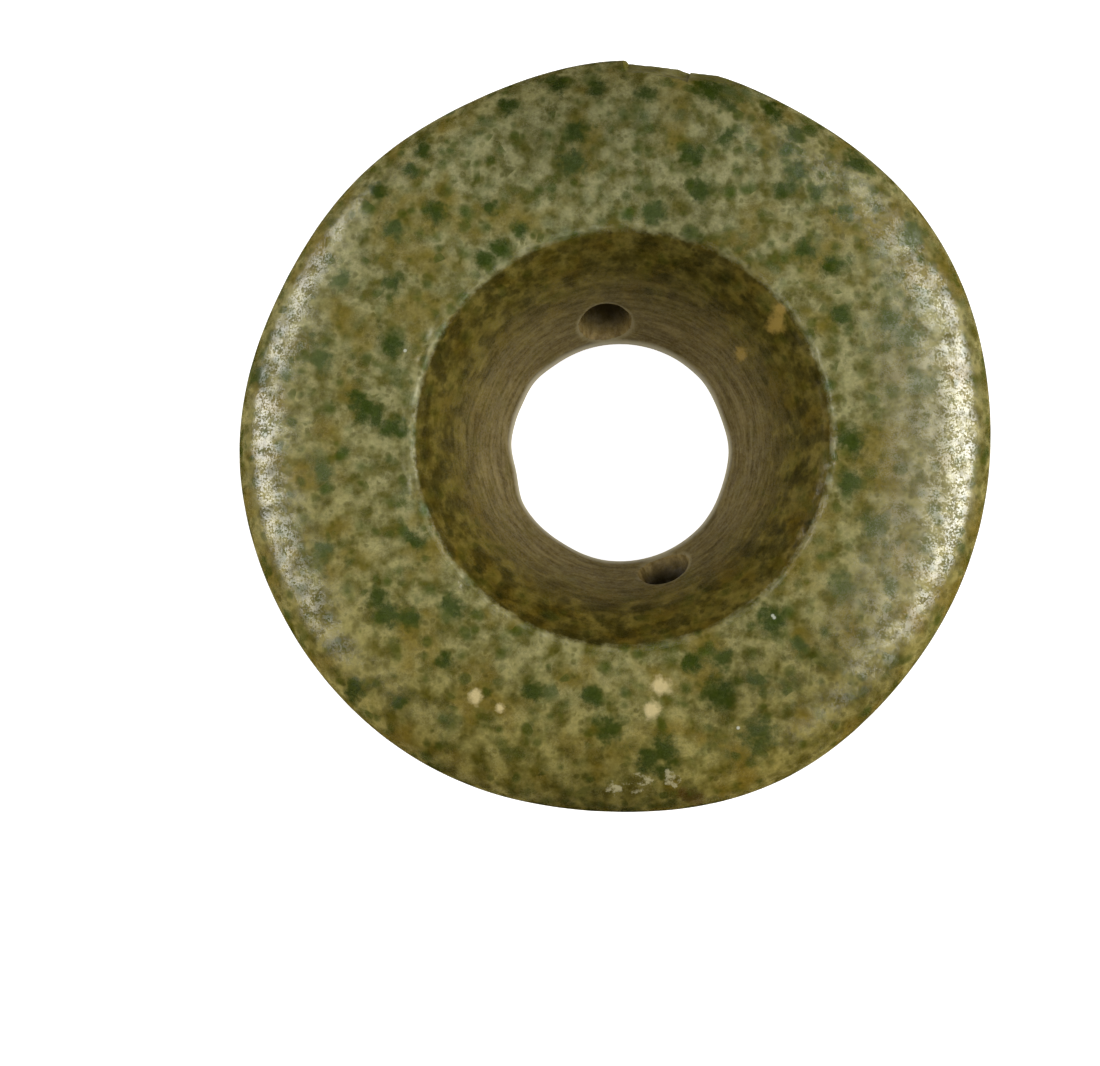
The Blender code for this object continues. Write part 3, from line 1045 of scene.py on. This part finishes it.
# %% [markdown]
# ## Four painted glints
# Four tiny white glints are painted on. They are too small for an attribute, so nodes measure the
# distance to the point of the stone that is seen there.

# %% Painted glints
GLINT_SPECKS = ((770.5, 616), (774.5, 618), (736, 727), (408, 349))  # places in the picture's pixels
GLINT_SPECK_RADIUS = 2.0 / PIXELS_PER_MM
GLINT_SPECK_WHITE = (210, 212, 194)
FAR_OFF = 1.0  # in mm, further than any speck reaches
face_side = (places[:, 2] > RIM_HEIGHT / MM) | (on_wall & (places[:, 2] > waist_mm))


def stone_point(across, down):
    """The point of the stone, in mm, that the camera sees at these pixels."""
    x, y = on_face(across, down)
    off = np.where(face_side, np.hypot(places[:, 0] - x, places[:, 1] - y), np.inf)
    return tuple(float(value) for value in places[np.argmin(off)])


nearest = FAR_OFF
for across, down in GLINT_SPECKS:
    centre = {0: place, 1: stone_point(across, down)}
    away = add("ShaderNodeVectorMath", centre, out=1, operation="DISTANCE")
    nearest = calc("MINIMUM", away, nearest)
glint_speck = step_up(nearest, 1.1 * GLINT_SPECK_RADIUS, 0.5 * GLINT_SPECK_RADIUS)
# painted glints: white at four points of the stone
surface = blend(calc("MULTIPLY", glint_speck, 0.7), surface, GLINT_SPECK_WHITE)
print(f"{len(nodes)} nodes with the specks")

# %% [markdown]
# ## How rough it is
# Pits, a thin film and the dull stretch scatter the light, and the drilled throat and the worn lip
# more so. The broken and bored faces set a floor under it.

# %% Roughness
POLISHED = 0.19
BROKEN_ROUGHNESS = 0.7

pits = step_up(calc("MULTIPLY_ADD", crumbs, 0.9, cloud(place, 8.0, 1, 0.8)), 0.9, 1.04)
film = step_up(cloud(shifted(drift, (4, 4, 4)), 0.7, 2, 0.7), 0.33, 0.6)
broken = calc("MAXIMUM", attribute("scar"), attribute("hole"))
rough = calc("MULTIPLY_ADD", pits, 0.1, POLISHED)
rough = calc("MULTIPLY_ADD", film, 0.06, rough)
rough = calc("MULTIPLY_ADD", attribute("dull_and_sheen"), 0.16, rough)
rough = calc("MULTIPLY_ADD", attribute("drilled"), 0.4, rough)
rough = calc("MULTIPLY_ADD", attribute("lip"), 0.3, rough)
rough = calc("MAXIMUM", rough, calc("MULTIPLY", broken, BROKEN_ROUGHNESS))
print(f"{len(nodes)} nodes with the roughness")

# %% [markdown]
# ## How strongly it shines
# In the photograph the bright bands near the rim are grainy, because pits hold no polish. So the shine
# falls in the pits and varies with the film, and matt places keep about a third of it. A faint bump lets
# the bands tremble.

# %% Shine and bump
LEAST_SHINE, SHINE_OF_FILM = 0.17, 0.41
WAVE_HEIGHT = 0.006 * MM

gloss = calc("MULTIPLY_ADD", film, SHINE_OF_FILM, LEAST_SHINE)
gloss = calc("MULTIPLY", gloss, calc("MULTIPLY_ADD", pits, -0.85, 1.0))
worn_lip = calc("MULTIPLY", attribute("lip"), step_up(fine_noise, 0.45, 0.6))
matt = calc("MAXIMUM", broken, calc("SUBTRACT", in_throat, calc("MULTIPLY", worn_lip, 0.5)))
matt = calc("MAXIMUM", matt, calc("MULTIPLY", attribute("lip"), 0.6))
gloss = calc("MULTIPLY", gloss, calc("MULTIPLY_ADD", matt, -0.7, 1.0))
waviness = cloud(place, 6.0, 1, 0.7)
bump = add("ShaderNodeBump", {"Strength": 0.25, "Distance": WAVE_HEIGHT, "Height": waviness})
print(f"{len(nodes)} nodes with the shine")

# %% [markdown]
# ## Into the shader
# Jade isn't metal, and bends light a little more than glass does. Light goes some tenths of a millimetre
# into it, which softens the spots. The stone takes this one material in place of the tools' plain ones.

# %% Shader and stone
JADE_IOR = 1.6
LIGHT_REACH = (0.4 * MM, 0.38 * MM, 0.2 * MM)  # of red, green and blue light in the stone
SHARP_EDGE = radians(50)

links.new(gloss, shader.inputs["Specular IOR Level"])
links.new(surface, shader.inputs["Base Color"])
links.new(rough, shader.inputs["Roughness"])
links.new(bump, shader.inputs["Normal"])
shader.inputs["Metallic"].default_value = 0.0
shader.inputs["IOR"].default_value = JADE_IOR
shader.inputs["Subsurface Weight"].default_value = 0.15
shader.inputs["Subsurface Radius"].default_value = LIGHT_REACH
shader.inputs["Subsurface Scale"].default_value = 1.0

stone.data.materials.clear()
stone.data.materials.append(jade)
stone.data.polygons.foreach_set("material_index", [0] * len(stone.data.polygons))
stone.data.shade_smooth()
stone.data.set_sharp_from_angle(angle=SHARP_EDGE)
print(f"the jade has {len(nodes)} nodes and {len(links)} links")

# %% [markdown]
# ## The lights
# One soft box at the left and two at the right give only the shine, the bright bands near the rim. Two
# more give only the colour, so the bands and the depth of the colour can be set apart. Nothing bright
# stands above the face, so its colours stay deep.

# %% Lights
LIGHT_DISTANCE = 0.6
LIGHTS = (  # name, turn, tilt, roll, size along and across, spread, power in watts, what it gives
    ("left_box", 168, 54, 28, (0.75, 0.34), 80, 1.6, "shine"),
    ("right_box", 6, 51, 0, (0.48, 0.34), 75, 1.15, "shine"),
    ("right_window", 8, 42, 0, (0.9, 0.42), 90, 1.35, "shine"),
    ("left_fill", 180, 56, 0, (0.2, 0.6), 180, 2.15, "fill"),
    ("right_fill", 0, 54, 0, (0.2, 0.6), 180, 3.2, "fill"),
)


def soft_box(name, turn, tilt, roll, size, spread, power, gives):
    """A long light that faces the spool, for its shine or for its colour, and isn't seen itself."""
    lamp = bpy.data.objects.new(name, bpy.data.lights.new(name, "AREA"))
    lamp.data.shape = "RECTANGLE"
    lamp.data.size, lamp.data.size_y = size
    lamp.data.spread = radians(spread)
    lamp.data.energy = power
    turn, tilt = radians(turn), radians(tilt)
    lamp.location = LIGHT_DISTANCE * Vector((sin(tilt) * cos(turn), sin(tilt) * sin(turn), cos(tilt)))
    facing = (-lamp.location).to_track_quat("-Z", "Y").to_matrix()
    lamp.rotation_euler = (facing @ Matrix.Rotation(radians(roll), 3, "Z")).to_euler()
    lamp.visible_camera = False
    lamp.visible_diffuse = gives == "fill"
    lamp.visible_glossy = gives == "shine"
    bpy.context.scene.collection.objects.link(lamp)


for light in LIGHTS:
    soft_box(*light)
print(f"{len(LIGHTS)} soft boxes, {LIGHT_DISTANCE} m away")

# %% [markdown]
# ## The table and the sky
# The photograph's ground is white even down in the bore. A table that is only lit would be grey there,
# so this one also glows. It is left out of the reflections, because its white would veil the polish.

# %% Floor and world
FLOOR_SIZE = 3.0
WHITE = (1, 1, 1, 1)
TABLE_COLOUR = (0.5, 0.5, 0.5, 1)
TABLE_GLOW = 1.02
SKY_STRENGTH = 0.2

table = bmesh.new()
bmesh.ops.create_grid(table, x_segments=1, y_segments=1, size=FLOOR_SIZE / 2)
floor = to_object(table, "floor", "white_table")
floor.visible_glossy = False
white = floor.data.materials[0]
white.use_nodes = True
white_shader = white.node_tree.nodes["Principled BSDF"]
white_shader.inputs["Base Color"].default_value = TABLE_COLOUR
white_shader.inputs["Roughness"].default_value = 0.9
white_shader.inputs["Emission Color"].default_value = WHITE
white_shader.inputs["Emission Strength"].default_value = TABLE_GLOW

world = bpy.data.worlds.new("studio")
bpy.context.scene.world = world
world.use_nodes = True
sky = world.node_tree.nodes["Background"]
sky.inputs["Color"].default_value = WHITE
sky.inputs["Strength"].default_value = SKY_STRENGTH
world.cycles_visibility.glossy = False
bpy.context.scene.view_settings.view_transform = "Standard"
print(f"a table {FLOOR_SIZE:.0f} m wide")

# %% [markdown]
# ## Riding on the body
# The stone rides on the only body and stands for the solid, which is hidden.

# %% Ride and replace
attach(stone, "root")
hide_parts("ear_spool")
